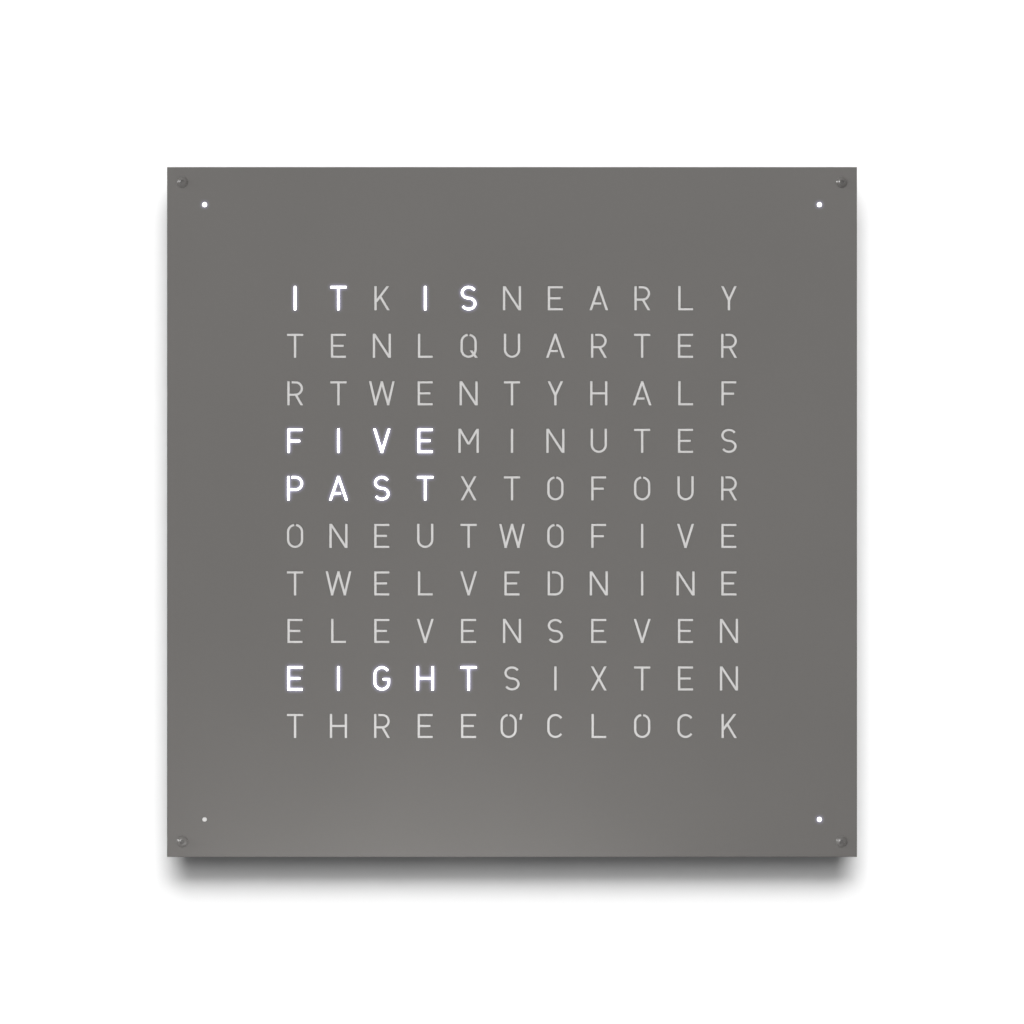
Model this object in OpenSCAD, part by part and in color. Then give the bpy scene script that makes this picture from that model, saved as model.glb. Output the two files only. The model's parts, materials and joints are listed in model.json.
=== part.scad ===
// Word clock: a square wall clock whose cover lets light through letters and corner dots.
// Frame: X to the viewer's right, Z up, the wall is the plane Y = 0 and the front faces -Y.
// The origin is the middle of the rear panel's back face. All sizes are in millimetres.

/* [Cover] */
// Width and height of the square front cover
cover_size = 450; // [420:5:500]
// Thickness of the cover sheet
cover_t = 2; // [1.5:0.1:3]
// How far the cover stands past the housing on each side
cover_overhang = 5; // [3:0.5:8]
// Diameter of the minute holes
minute_hole_d = 3; // [2:0.1:4]
// Clearance hole of a corner screw
screw_hole_d = 4.5; // [4.3:0.1:5]

/* [Letter field] */
// Letters in a row
columns = 11; // [9:1:12]
// Rows of letters
rows = 10; // [8:1:11]
// Distance between columns
column_pitch = 28.3; // [25:0.1:30]
// Distance between rows
row_pitch = 31; // [28:0.5:33]

/* [Light box] */
// Thickness of the opal diffuser
diffuser_t = 1; // [0.8:0.1:2]
// Depth of the light grid from the diffuser to the LED boards
grid_depth = 8.4; // [7:0.1:12]
// Wall thickness of the light grid
grid_wall = 1.2; // [1:0.1:1.6]
// Thickness of the light grid's front flange
flange_t = 1; // [0.8:0.1:1.2]
// Width of the square window at the foot of each cup
led_window = 7; // [6:0.5:9]
// Outer diameter of a minute light tube
tube_d = 8; // [7:0.5:10]
// Wall thickness of a minute light tube
tube_wall = 0.8; // [0.6:0.1:1.2]

/* [LED boards] */
// Thickness of the circuit boards
board_t = 1.6; // [1:0.2:2]
// Gap between neighbouring LED boards
seam_gap = 0.3; // [0.2:0.1:1]
// Width and height of an LED package
led_size = 5; // [3:0.5:5.5]
// Height of an LED package
led_h = 1.6; // [1:0.1:2]
// Width and height of the smaller LED package behind a minute hole
minute_led_size = 3.5; // [2:0.5:4]
// Length of the standoffs behind the LED boards
standoff_h = 5.5; // [5.3:0.1:8]
// Diameter of all standoffs
standoff_d = 6; // [5:0.5:6.5]

/* [Housing] */
// Wall thickness of the housing
housing_wall = 3; // [2.5:0.1:4]
// Radius of the housing's outer corners
housing_corner_r = 4; // [3:0.5:6]
// Space between the housing wall and the light box, for screw bosses
boss_space = 11; // [11:0.5:14]
// Width of the ledge that the rear panel rests on
ledge_w = 4; // [3:0.5:5]
// Thickness of that ledge
ledge_t = 2; // [1.5:0.1:2.5]
// Distance of the cover screws inside the housing's outer faces
cover_screw_inset = 5; // [4.8:0.1:6]
// Distance of the rear screws inside the housing's inner faces
rear_screw_inset = 6; // [5.5:0.1:6.5]
// Distance of the side rear screws from the middle of each side
side_screw_offset = 100; // [80:5:120]
// Depth of the stiffening ribs
rib_depth = 3; // [2:0.5:3.5]
// Thickness of the stiffening ribs
rib_t = 1.5; // [1:0.1:2]

/* [Rear panel] */
// Thickness of the rear panel
rear_panel_t = 1.5; // [1.2:0.1:2]
// Gap between the rear panel and the housing
rear_panel_gap = 0.5; // [0.3:0.1:1]
// Distance between the two keyholes
keyhole_span = 300; // [200:5:320]
// Distance of the keyhole entries below the housing's top
keyhole_drop = 70; // [50:5:80]
// Diameter of a keyhole's entry
keyhole_entry_d = 9; // [8:0.5:10]
// Width of a keyhole's slot
keyhole_slot_w = 4.6; // [4:0.1:5]
// Distance from the entry's centre up to the slot's end centre
keyhole_rise = 9; // [8:0.5:12]
// Inner depth of the cup over a keyhole
cup_depth = 3.8; // [3:0.1:4]
// Wall thickness of that cup
cup_wall = 1; // [0.8:0.1:1.2]

/* [Control board] */
// Width of the control board
control_w = 116; // [112:1:130]
// Height of the control board
control_h = 60; // [59:0.5:64]
// Length of the standoffs behind the control board
control_standoff_h = 1.9; // [1.8:0.1:2.1]
// Height of the bay that is cut from the LED boards in front of it
bay_h = 41; // [40:0.5:43]
// Side gap between the control board and the bay
bay_gap = 4; // [2:0.5:6]

/* [Buttons] */
// Diameter of a button cap
button_d = 7; // [5:0.5:8]
// How far a cap stands out of the housing
button_proud = 1.2; // [0.8:0.1:2]
// Travel of a button
button_travel = 0.5; // [0.3:0.1:0.8]
// Distance between the buttons
button_pitch = 14; // [12:0.5:14]
// Distance of the outer button inside the control board's left edge
button_inset = 16; // [14:1:18]

/* [Power inlet] */
// Distance of the inlet inside the control board's right edge
jack_inset = 28; // [24:1:30]
// Diameter of the opening in the housing for the plug
plug_opening_d = 10.4; // [9:0.2:11]
// Bore of the jack
jack_bore_d = 6.4; // [6:0.1:6.8]
// Diameter of the jack's centre pin
jack_pin_d = 2; // [1.6:0.1:2.6]

/* [Hidden] */
$fn = 48;

// Clearances and cutting allowance
eps = 0.5;              // how far a cut runs past the face it opens
thread_gap = 0.05;      // radial gap between a screw and the hole that grips it
insert_gap = 0.05;      // radial gap round a pressed-in insert
hole_gap = 0.2;         // radial gap between a screw and a hole that it passes
tube_gap = 0.3;         // gap between a light tube and the skirt beside it
tube_hole_gap = 0.1;    // radial gap between a light tube and its hole in the flange
button_fit = 0.08;      // radial gap between a button cap and the housing
plunger_fit = 0.08;     // radial gap between a plunger and its switch
flange_gap = 0.1;       // gap between a cap's flange and the housing at rest
jack_gap = 0.3;         // gap between the jack and the housing wall
cell_gap = 0.15;        // radial gap round the coin cell
tongue_gap = 0.2;       // gap round the plug's tongue in its socket

// The layers, from the wall forward
panel_y = -rear_panel_t;
led_back_y = panel_y - standoff_h;
led_front_y = led_back_y - board_t;
grid_y = led_front_y - grid_depth;
diffuser_y = grid_y - diffuser_t;
cover_y = diffuser_y - cover_t;
flange_y = grid_y + flange_t;
control_back_y = panel_y - control_standoff_h;
control_y = control_back_y - board_t;

// Half widths, from the outside in
cover_half = cover_size / 2;
housing_half = cover_half - cover_overhang;
inner_half = housing_half - housing_wall;
block_half = inner_half - boss_space + 1;
box_half = inner_half - boss_space;
panel_half = inner_half - rear_panel_gap;
panel_corner_r = 2;
cover_screw_half = housing_half - cover_screw_inset;
rear_screw_half = inner_half - rear_screw_inset;
minute_half = box_half - grid_wall - tube_gap - tube_d / 2;

// The letter field
field_x = columns * column_pitch / 2;
field_z = rows * row_pitch / 2;
seam_x = (ceil(columns / 2) - columns / 2) * column_pitch;
seam_z = (ceil(rows / 2) - rows / 2) * row_pitch;
window_half = led_window / 2;
led_well_share = 0.8;
led_well_depth = 0.25 * led_h;

// Screws: M4 button head at the cover, M3 elsewhere
cover_screw_d = 4;
cover_screw_l = 10;
cover_head_d = 7.6;
cover_head_top_d = 3.8;
cover_head_h = 2.2;
cover_hex_d = 2.9;
cover_hex_depth = 1.3;
insert_d = 5.5;
insert_l = 7.5;
insert_hole_depth = cover_screw_l - cover_t + eps;
small_screw_d = 3;
small_head_d = 5.6;
small_head_h = 2;
small_hex_d = 2.3;
small_hex_depth = 1.1;
rear_screw_l = 6;
rear_pilot_depth = 6.5;
rear_boss_d = 8;
rear_boss_depth = 8.5;
sink_drop = 0.1;
rib_gap = 4;
rail_seam = 1;          // how far past a corner block the rails meet
rail_half = block_half - rail_seam;

// The control board and its bay
control_edge_gap = 4.5;
control_z = -inner_half + control_edge_gap;
bay_z = -box_half + bay_h;
bay_half = control_w / 2 + bay_gap;
control_screw_edge = 5;
control_screw_rise = 42;
keyhole_height = housing_half - keyhole_drop;
button_x = -control_w / 2 + button_inset + button_pitch;
jack_x = control_w / 2 - jack_inset;
switch_w = 7;
switch_l = 6;
switch_h = 7.5;
switch_setback = 2;
button_y = control_y - 4;
plunger_d = 3.2;
plunger_hold = 2;
cap_flange_d = button_d + 2.2;
cap_flange_t = 1.2;
cap_dish_r = 12;
cap_dish_depth = 0.3;
jack_w = 9;
jack_l = 14;
jack_h = 10.8;
jack_axis = 6.2;
jack_bore_l = 11;
jack_pin_setback = 1;
micro_size = 10;
micro_rise = 27;
micro_h = 1.6;
clock_chip_x = -2;
clock_chip_rise = 14;
crystal_x = 15;
crystal_rise = 9;
crystal_d = 3.8;
crystal_span = 6.6;
crystal_h = 3.5;
regulator_x = 20;
regulator_rise = 30;
capacitor_d = 8;
capacitor_h = 9.8;
capacitor_inset = 9;
capacitor_rise = 24;
capacitor_pitch = 10;
capacitor_groove_r = 0.5;
coin_inset = 28;
coin_rise = 28;
lead_t = 0.25;
lead_w = 0.4;
lead_out = 1.4;
lead_pitch = 1.27;
coin_d = 20;
coin_t = 3.2;
coin_tray_wall = 1.35;
coin_tray_floor = 0.6;
link_w = 10;
link_l = 18;
link_end = 6;
link_h = 2.4;
link_strip_t = 0.6;
link_gap = 3;
link_place = (field_x + box_half) / 2;
link_high_z = (field_z + box_half) / 2;
link_low_z = control_z + control_h + link_gap + link_w / 2;
connector_inset = 33;
connector_drop = 7;
connector_x = -control_w / 2 + connector_inset;
connector_z = control_z + control_h - connector_drop;
connector_w = 30;
connector_l = 6;
connector_base_t = 0.5;
tongue_w = 2;
tongue_end = 2;
tongue_floor = 0.4;

// A flat sheet of thickness t whose front face is at y, drawn in X and Z
module sheet(y, t) {
    translate([0, y + t, 0]) rotate([90, 0, 0]) linear_extrude(t) children();
}

// A round rod along Y from y to y + l, as wide as d1 in front and d2 behind
module rod_y(x, z, y, l, d1, d2) {
    translate([x, y, z]) rotate([-90, 0, 0]) cylinder(h = l, d1 = d1, d2 = d2);
}

// A round rod along Z from z to z + l
module rod_z(x, y, z, l, d) {
    translate([x, y, z]) cylinder(h = l, d = d);
}

// Sets its children, drawn flat with Z as height, on a board's front face at y
module on_board(x, z, y) {
    translate([x, y, z]) rotate([90, 0, 0]) children();
}

// A square with round corners, from its half width
module round_square(half, r) {
    square([2 * half, 2 * (half - r)], center = true);
    square([2 * (half - r), 2 * half], center = true);
    for (sx = [-1, 1], sz = [-1, 1]) translate([sx * (half - r), sz * (half - r)]) circle(r);
}

// A slot with round ends that rises from its lower centre
module stadium(rise, d) {
    circle(d = d);
    translate([-d / 2, 0]) square([d, rise]);
    translate([0, rise]) circle(d = d);
}

// Copies its children to the four corners of a square
module at_corners(half) {
    for (sx = [-1, 1], sz = [-1, 1]) translate([sx * half, 0, sz * half]) children();
}

// Copies its children to all rear panel screws
module at_rear_screws() {
    at_corners(rear_screw_half) children();
    for (s = [-1, 1], o = [-1, 1]) {
        translate([o * side_screw_offset, 0, s * rear_screw_half]) children();
        translate([s * rear_screw_half, 0, o * side_screw_offset]) children();
    }
}

// Copies its children to the screws of the LED boards, where four cups meet
module at_board_screws() {
    for (x = [-field_x + column_pitch, seam_x - column_pitch,
              seam_x + column_pitch, field_x - column_pitch],
         z = [-field_z + row_pitch, seam_z - row_pitch,
              seam_z + row_pitch, field_z - row_pitch])
        translate([x, 0, z]) children();
}

// Copies its children to the screws of the control board
module at_control_screws() {
    for (s = [-1, 1], rise = [control_screw_edge, control_screw_rise])
        translate([s * (control_w / 2 - control_screw_edge), 0, control_z + rise]) children();
}

// Copies its children to every letter
module at_letters() {
    for (i = [0 : columns - 1], j = [0 : rows - 1])
        translate([-field_x + (i + 0.5) * column_pitch, 0, -field_z + (j + 0.5) * row_pitch])
            children();
}

// ---------------------------------------------------------------- cover
module front_cover() {
    color([0.45, 0.44, 0.43])
        difference() {
            sheet(cover_y, cover_t) square(cover_size, center = true);
            at_corners(cover_screw_half) rod_y(0, 0, cover_y - eps, cover_t + 2 * eps,
                                               screw_hole_d, screw_hole_d);
            at_corners(minute_half) rod_y(0, 0, cover_y - eps, cover_t + 2 * eps,
                                          minute_hole_d, minute_hole_d);
        }
}

// Domed head of the given size on a plain shank, with a hexagon socket
module cover_screw() {
    drop = (pow(cover_head_d / 2, 2) - pow(cover_head_top_d / 2, 2) - pow(cover_head_h, 2))
        / (2 * cover_head_h);
    dome_r = sqrt(pow(cover_head_d / 2, 2) + drop * drop);
    difference() {
        union() {
            intersection() {
                translate([0, cover_y + drop, 0]) sphere(dome_r);
                rod_y(0, 0, cover_y - cover_head_h, cover_head_h, cover_head_d, cover_head_d);
            }
            rod_y(0, 0, cover_y, cover_screw_l, cover_screw_d, cover_screw_d);
        }
        translate([0, cover_y - cover_head_h - eps, 0]) rotate([-90, 0, 0])
            cylinder(h = cover_hex_depth + eps, d = cover_hex_d, $fn = 6);
    }
}

module cover_screws() {
    color([0.72, 0.72, 0.72]) at_corners(cover_screw_half) cover_screw();
}

module thread_inserts() {
    color([0.78, 0.62, 0.3])
        at_corners(cover_screw_half) difference() {
            rod_y(0, 0, diffuser_y, insert_l, insert_d, insert_d);
            rod_y(0, 0, diffuser_y - eps, insert_l + 2 * eps,
                  cover_screw_d + 2 * thread_gap, cover_screw_d + 2 * thread_gap);
        }
}

// ------------------------------------------------------------ light box
module diffuser_sheet() {
    color([0.95, 0.95, 0.93])
        sheet(diffuser_y, diffuser_t) square(2 * box_half, center = true);
}

// Half width at depth y of a cup that opens from foot at the board to mouth at the diffuser
function flare(y, foot, mouth) = foot + (mouth - foot) * (led_front_y - y) / grid_depth;

// A long prism along Z, tapered in X from foot to mouth between the depths y0 and y1
module taper_x(foot, mouth, y0, y1, l) {
    a = flare(y0, foot, mouth);
    b = flare(y1, foot, mouth);
    translate([0, 0, -l / 2]) linear_extrude(l) polygon([[-a, y0], [a, y0], [b, y1], [-b, y1]]);
}

// The same along X, tapered in Z
module taper_z(foot, mouth, y0, y1, l) {
    a = flare(y0, foot, mouth);
    b = flare(y1, foot, mouth);
    translate([-l / 2, 0, 0]) rotate([90, 0, 90]) linear_extrude(l)
        polygon([[y0, -a], [y0, a], [y1, b], [y1, -b]]);
}

// The hollows of all cups: where the column prisms and the row prisms cross
module cup_hollows() {
    intersection() {
        for (i = [0 : columns - 1]) translate([-field_x + (i + 0.5) * column_pitch, 0, 0])
            taper_x(window_half, (column_pitch - grid_wall) / 2, led_front_y + eps,
                    grid_y - eps, 2 * field_z);
        for (j = [0 : rows - 1]) translate([0, 0, -field_z + (j + 0.5) * row_pitch])
            taper_z(window_half, (row_pitch - grid_wall) / 2, led_front_y + eps,
                    grid_y - eps, 2 * field_x);
    }
}

// Half width at depth y of the groove between the backs of two cups
function groove(y, pitch) =
    pitch / 2 - flare(y, window_half + grid_wall, (pitch + grid_wall) / 2);

// The V grooves between the backs of the cups, from the boards to just behind the diffuser
module cup_grooves() {
    foot = window_half + grid_wall;
    tip_x = led_front_y - grid_depth * (column_pitch / 2 - foot)
        / ((column_pitch + grid_wall) / 2 - foot);
    tip_z = led_front_y - grid_depth * (row_pitch / 2 - foot)
        / ((row_pitch + grid_wall) / 2 - foot);
    back_y = led_front_y + eps;
    gx = groove(back_y, column_pitch);
    gz = groove(back_y, row_pitch);
    for (i = [0 : columns]) translate([-field_x + i * column_pitch, 0, -field_z - gz])
        linear_extrude(2 * field_z + 2 * gz) polygon([[-gx, back_y], [gx, back_y], [0, tip_x]]);
    for (j = [0 : rows]) translate([-field_x - gx, 0, -field_z + j * row_pitch])
        rotate([90, 0, 90]) linear_extrude(2 * field_x + 2 * gx)
            polygon([[back_y, -gz], [back_y, gz], [tip_z, 0]]);
}

module light_grid() {
    color([0.2, 0.2, 0.2])
        difference() {
            union() {
                difference() {
                    sheet(grid_y, grid_depth) square([2 * field_x, 2 * field_z], center = true);
                    cup_grooves();
                }
                sheet(grid_y, flange_t) square(2 * box_half, center = true);
                sheet(grid_y, grid_depth) difference() {
                    square(2 * box_half, center = true);
                    square(2 * (box_half - grid_wall), center = true);
                }
            }
            cup_hollows();
            at_corners(minute_half) rod_y(0, 0, grid_y - eps, flange_t + 2 * eps,
                                          tube_d + 2 * tube_hole_gap,
                                          tube_d + 2 * tube_hole_gap);
            translate([-bay_half, flange_y, -box_half - eps])
                cube([2 * bay_half, grid_depth, grid_wall + 2 * eps]);
        }
}

module minute_light_tubes() {
    bore = tube_d - 2 * tube_wall;
    color([0.2, 0.2, 0.2])
        at_corners(minute_half) difference() {
            rod_y(0, 0, grid_y, grid_depth, tube_d, tube_d);
            rod_y(0, 0, grid_y - eps, grid_depth + 2 * eps, bore, bore);
        }
}

// ----------------------------------------------------------- LED boards
// One of the four boards; sx and sz say on which side of the seams it lies
module led_board(sx, sz) {
    x0 = sx < 0 ? -box_half : seam_x + seam_gap / 2;
    x1 = sx < 0 ? seam_x - seam_gap / 2 : box_half;
    z0 = sz < 0 ? -box_half : seam_z + seam_gap / 2;
    z1 = sz < 0 ? seam_z - seam_gap / 2 : box_half;
    hole = small_screw_d + 2 * hole_gap;
    color([0.1, 0.3, 0.2])
        difference() {
            translate([x0, led_front_y, z0]) cube([x1 - x0, board_t, z1 - z0]);
            at_board_screws() rod_y(0, 0, led_front_y - eps, board_t + 2 * eps, hole, hole);
            translate([-bay_half, led_front_y - eps, -box_half - eps])
                cube([2 * bay_half, board_t + 2 * eps, bay_h + eps]);
        }
}

module led_board_upper_left() { led_board(-1, 1); }
module led_board_upper_right() { led_board(1, 1); }
module led_board_lower_left() { led_board(-1, -1); }
module led_board_lower_right() { led_board(1, -1); }

// A square LED package of the given width with a round well
module led(size) {
    on_board(0, 0, led_front_y) difference() {
        translate([-size / 2, -size / 2, 0]) cube([size, size, led_h]);
        translate([0, 0, led_h - led_well_depth])
            cylinder(h = led_well_depth + eps, d = led_well_share * size);
    }
}

module matrix_leds() {
    color([0.95, 0.93, 0.85]) at_letters() led(led_size);
}

module minute_leds() {
    color([0.95, 0.93, 0.85]) at_corners(minute_half) led(minute_led_size);
}

// A gull-wing lead: out of the body at mid height, down, and a foot on the board
module lead(body_h) {
    mid = body_h / 2;
    rotate([90, 0, 0]) translate([0, 0, -lead_w / 2]) linear_extrude(lead_w)
        polygon([[-lead_t, mid], [-lead_t, mid + lead_t], [lead_out / 2 + lead_t, mid + lead_t],
                 [lead_out / 2 + lead_t, lead_t], [lead_out, lead_t], [lead_out, 0],
                 [lead_out / 2, 0], [lead_out / 2, mid]]);
}

// A chip of w by l and height h with n leads on each long side
module chip(w, l, h, n) {
    translate([-w / 2, -l / 2, lead_t / 2]) cube([w, l, h]);
    for (s = [0, 180]) rotate([0, 0, s]) for (k = [0 : n - 1])
        translate([w / 2, (k - (n - 1) / 2) * lead_pitch, 0]) lead(h);
}

module led_drivers() {
    color([0.12, 0.12, 0.12])
        for (sx = [-1, 1], sz = [-1, 1])
            on_board(sx * (field_x + box_half) / 2, sz * 3 * row_pitch, led_front_y)
                chip(7.5, 15.4, 2.35, 12);
}

// Two connectors and the flat strip between them, behind the boards and across a seam
module board_link() {
    rotate([-90, 0, 0]) {
        for (s = [-1, 1]) translate([s * (link_l - link_end) / 2, 0, link_h / 2])
            cube([link_end, link_w, link_h], center = true);
        translate([0, 0, link_h / 2]) cube([link_l, link_w - 2, link_strip_t], center = true);
    }
}

module board_links() {
    color([0.9, 0.9, 0.86]) {
        translate([seam_x, led_back_y, link_high_z]) board_link();
        translate([seam_x, led_back_y, link_low_z]) board_link();
        translate([-link_place, led_back_y, seam_z]) rotate([0, 90, 0]) board_link();
    }
}

// A round standoff of length l that ends on the rear panel
module standoff(l) {
    difference() {
        rod_y(0, 0, panel_y - l, l, standoff_d, standoff_d);
        rod_y(0, 0, panel_y - l - eps, l + 2 * eps,
              small_screw_d + 2 * thread_gap, small_screw_d + 2 * thread_gap);
    }
}

// A small screw whose head rests on a board's front face at y
module small_screw(y) {
    difference() {
        union() {
            rod_y(0, 0, y - small_head_h, small_head_h, small_head_d, small_head_d);
            rod_y(0, 0, y, panel_y - y - sink_drop, small_screw_d, small_screw_d);
        }
        translate([0, y - small_head_h - eps, 0]) rotate([-90, 0, 0])
            cylinder(h = small_hex_depth + eps, d = small_hex_d, $fn = 6);
    }
}

module board_standoffs() {
    color([0.8, 0.8, 0.82]) at_board_screws() standoff(standoff_h);
}

module board_screws() {
    color([0.75, 0.75, 0.75]) at_board_screws() small_screw(led_front_y);
}

// -------------------------------------------------------------- housing
// Boss and web for a side screw of the rear panel, drawn for the upper side
module side_boss() {
    sheet(panel_y - rear_boss_depth, rear_boss_depth)
        for (o = [-1, 1]) translate([o * side_screw_offset, rear_screw_half]) {
            circle(d = rear_boss_d);
            translate([-rear_boss_d / 2, 0])
                square([rear_boss_d, rear_screw_inset + housing_wall / 2]);
        }
}

// Ribs along one side, drawn for the upper side, with the inner pair at the given place
module side_ribs(inner) {
    sheet(diffuser_y, panel_y - ledge_t - diffuser_y + ledge_t / 2)
        for (s = [-1, 1], x = [inner, 1.5 * side_screw_offset])
            translate([s * x - rib_t / 2, inner_half - rib_depth])
                square([rib_t, rib_depth + housing_wall / 2]);
}

// Corner block that holds a cover screw's insert and a rear screw
module corner_block() {
    reach = housing_half - block_half - housing_wall / 2;
    sheet(diffuser_y, panel_y - diffuser_y) translate([block_half, block_half]) {
        translate([panel_corner_r, 0]) square([reach - panel_corner_r, reach]);
        translate([0, panel_corner_r]) square([reach, reach - panel_corner_r]);
        translate([panel_corner_r, panel_corner_r]) circle(panel_corner_r);
    }
}

// The four rails as one ring, which housing_rail parts at the seams
module housing_ring() {
    difference() {
        union() {
            sheet(diffuser_y, -diffuser_y) difference() {
                round_square(housing_half, housing_corner_r);
                round_square(inner_half, panel_corner_r);
            }
            sheet(panel_y - ledge_t, ledge_t) difference() {
                round_square(inner_half + housing_wall / 2, panel_corner_r);
                square(2 * (inner_half - ledge_w), center = true);
            }
            for (a = [0, 90, 180, 270]) rotate([0, a, 0]) {
                side_boss();
                side_ribs(a == 180 ? bay_half + rib_gap : side_screw_offset / 2);
                corner_block();
            }
        }
        at_corners(cover_screw_half)
            rod_y(0, 0, diffuser_y - eps, insert_hole_depth + eps,
                  insert_d + 2 * insert_gap, insert_d + 2 * insert_gap);
        at_rear_screws()
            rod_y(0, 0, panel_y - rear_pilot_depth, rear_pilot_depth + eps,
                  small_screw_d + 2 * thread_gap, small_screw_d + 2 * thread_gap);
        for (k = [-1 : 1])
            rod_z(button_x + k * button_pitch, button_y, -housing_half - eps,
                  housing_wall + 2 * eps, button_d + 2 * button_fit);
        rod_z(jack_x, control_y - jack_axis, -housing_half - eps, housing_wall + 2 * eps,
              plug_opening_d);
    }
}

// The rail on one side of the ring: those above and below hold the corner blocks
module housing_rail(x, z) {
    long = housing_half + eps;
    color([0.16, 0.16, 0.17])
        intersection() {
            housing_ring();
            if (x == 0)
                translate([-long, diffuser_y - eps, z > 0 ? rail_half : -long])
                    cube([2 * long, 2 * eps - diffuser_y, long - rail_half]);
            else
                translate([x > 0 ? 0 : -long, diffuser_y - eps, -rail_half])
                    cube([long, 2 * eps - diffuser_y, 2 * rail_half]);
        }
}

// ----------------------------------------------------------- rear panel
module rear_panel() {
    hole = small_screw_d + 2 * hole_gap;
    sink = small_head_d + 2 * hole_gap;
    sink_l = (sink - hole) / 2;
    color([0.14, 0.14, 0.15])
        difference() {
            sheet(panel_y, rear_panel_t) round_square(panel_half, panel_corner_r);
            sheet(panel_y - eps, rear_panel_t + 2 * eps)
                for (s = [-1, 1]) translate([s * keyhole_span / 2, keyhole_height]) {
                    circle(d = keyhole_entry_d);
                    stadium(keyhole_rise, keyhole_slot_w);
                }
            at_rear_screws() {
                rod_y(0, 0, panel_y - eps, rear_panel_t + 2 * eps, hole, hole);
                rod_y(0, 0, -sink_l, sink_l + eps, hole, sink + 2 * eps);
            }
        }
}

// Countersunk screws that lie just below the rear panel's back face
module rear_panel_screws() {
    cone = (small_head_d - small_screw_d) / 2;
    color([0.7, 0.7, 0.72])
        at_rear_screws() difference() {
            union() {
                rod_y(0, 0, -sink_drop - cone, cone, small_screw_d, small_head_d);
                rod_y(0, 0, -sink_drop - rear_screw_l, rear_screw_l - cone,
                      small_screw_d, small_screw_d);
            }
            translate([0, -sink_drop - small_hex_depth, 0]) rotate([-90, 0, 0])
                cylinder(h = small_hex_depth + eps, d = small_hex_d, $fn = 6);
        }
}

// Cups that close the keyholes towards the boards
module keyhole_cups() {
    hollow = keyhole_entry_d + 5;
    outer = hollow + 2 * cup_wall;
    foot = outer + 4;
    color([0.16, 0.16, 0.17])
        for (s = [-1, 1]) translate([s * keyhole_span / 2, 0, keyhole_height]) difference() {
            union() {
                sheet(panel_y - cup_depth - cup_wall, cup_depth + cup_wall)
                    stadium(keyhole_rise, outer);
                sheet(panel_y - cup_wall, cup_wall) stadium(keyhole_rise, foot);
            }
            sheet(panel_y - cup_depth, cup_depth + eps) stadium(keyhole_rise, hollow);
        }
}

// -------------------------------------------------------- control board
module control_board() {
    hole = small_screw_d + 2 * hole_gap;
    color([0.1, 0.3, 0.2])
        difference() {
            translate([-control_w / 2, control_y, control_z])
                cube([control_w, board_t, control_h]);
            at_control_screws() rod_y(0, 0, control_y - eps, board_t + 2 * eps, hole, hole);
        }
}

module control_board_standoffs() {
    color([0.8, 0.8, 0.82]) at_control_screws() standoff(control_standoff_h);
}

module control_board_screws() {
    color([0.75, 0.75, 0.75]) at_control_screws() small_screw(control_y);
}

// A square chip with leads on all four sides
module microcontroller() {
    color([0.12, 0.12, 0.12])
        on_board(0, control_z + micro_rise, control_y) for (a = [0, 90]) rotate([0, 0, a])
            chip(micro_size, micro_size, micro_h, 7);
}

module clock_chip() {
    color([0.12, 0.12, 0.12])
        on_board(clock_chip_x, control_z + clock_chip_rise, control_y) rotate([0, 0, 90])
            chip(5, 7, 1.6, 4);
}

module quartz_crystal() {
    color([0.8, 0.8, 0.8])
        on_board(crystal_x, control_z + crystal_rise, control_y) {
            linear_extrude(0.5) stadium(crystal_span, crystal_d + 1);
            linear_extrude(crystal_h) stadium(crystal_span, crystal_d);
        }
}

// Sets its children where the coin cell lies, at a height above the board
module at_coin(h) {
    on_board(-control_w / 2 + coin_inset, control_z + coin_rise, control_y - h) children();
}

module coin_cell_holder() {
    pocket = coin_d + 2 * cell_gap;
    outer = pocket + 2 * coin_tray_wall;
    color([0.9, 0.88, 0.8])
        at_coin(0) difference() {
            cylinder(h = coin_tray_floor + coin_t, d = outer);
            translate([0, 0, coin_tray_floor]) cylinder(h = coin_t + eps, d = pocket);
            translate([-coin_d / 4, 0, coin_tray_floor]) cube([coin_d / 2, outer, coin_t + eps]);
        }
}

module coin_cell() {
    color([0.8, 0.8, 0.8])
        at_coin(coin_tray_floor) {
            cylinder(h = 0.8 * coin_t, d = coin_d);
            cylinder(h = coin_t, d = 0.88 * coin_d);
        }
}

module voltage_regulator() {
    color([0.12, 0.12, 0.12])
        on_board(regulator_x, control_z + regulator_rise, control_y) {
            translate([-3.3, 0, 0]) cube([6.6, 6.1, 2.3]);
            translate([-2.6, 0, 0]) cube([5.2, 7.6, 0.5]);
            for (s = [-1, 1]) translate([s * 2.3, 0, 0]) rotate([0, 0, -90]) lead(2);
        }
}

module smoothing_capacitors() {
    color([0.2, 0.2, 0.25])
        for (k = [0, 1])
            on_board(control_w / 2 - capacitor_inset - k * capacitor_pitch,
                     control_z + capacitor_rise, control_y) difference() {
                cylinder(h = capacitor_h, d = capacitor_d);
                translate([0, 0, 4 * capacitor_groove_r]) rotate_extrude()
                    translate([capacitor_d / 2 + capacitor_groove_r / 2, 0])
                        circle(capacitor_groove_r);
            }
}

// The pair of low connectors that joins the control board to the lower left LED board
module board_socket() {
    depth = control_y - led_back_y - connector_base_t;
    color([0.15, 0.15, 0.15])
        on_board(connector_x, connector_z, control_y) difference() {
            translate([-connector_w / 2, -connector_l / 2, 0])
                cube([connector_w, connector_l, depth]);
            translate([-connector_w / 2 + tongue_end, -tongue_w / 2 - tongue_gap, tongue_floor])
                cube([connector_w - 2 * tongue_end, tongue_w + 2 * tongue_gap, depth]);
        }
}

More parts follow.
